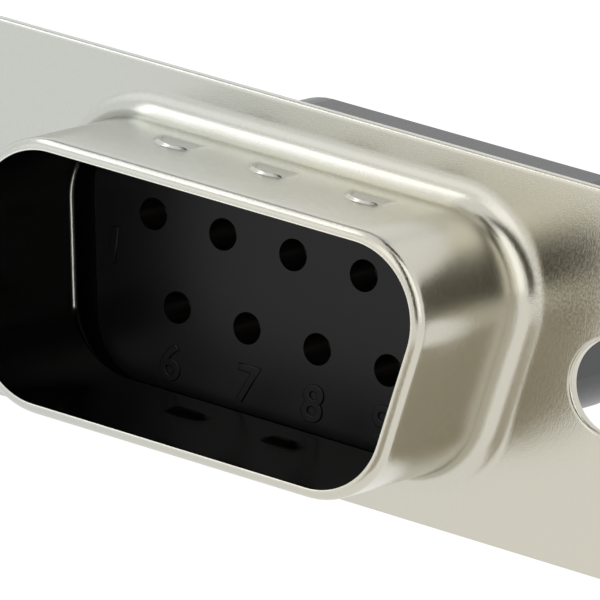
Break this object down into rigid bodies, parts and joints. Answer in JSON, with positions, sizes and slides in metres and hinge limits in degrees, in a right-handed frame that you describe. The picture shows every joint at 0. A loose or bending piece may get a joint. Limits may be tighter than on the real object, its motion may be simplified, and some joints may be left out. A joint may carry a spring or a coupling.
{
  "type": "d-sub plug housing",
  "caption": "D-shaped metal-shelled plug housing with two fixing holes and empty cavities for crimp contacts.",
  "frame": {"origin": "middle of the D outline, on the front face of the metal flange", "axes": "+X along the contact rows, to the right as seen from the mating side; -Y out of the mating side; +Z towards the long side of the D"},
  "size_m": [0.0308, 0.0164, 0.0126],
  "materials": {
    "plated_steel": "satin tin plate",
    "black_thermoplastic": "fine moulded",
    "spring_bronze": "rolled"
  },
  "bodies": {
    "root": {"front_shell": "plated_steel", "front_insulator": "black_thermoplastic", "rear_insulator": "black_thermoplastic", "contact_clip_1": "spring_bronze", "contact_clip_2": "spring_bronze", "contact_clip_3": "spring_bronze", "contact_clip_4": "spring_bronze", "contact_clip_5": "spring_bronze", "contact_clip_6": "spring_bronze", "contact_clip_7": "spring_bronze", "contact_clip_8": "spring_bronze", "contact_clip_9": "spring_bronze"}
  },
  "joints": []
}
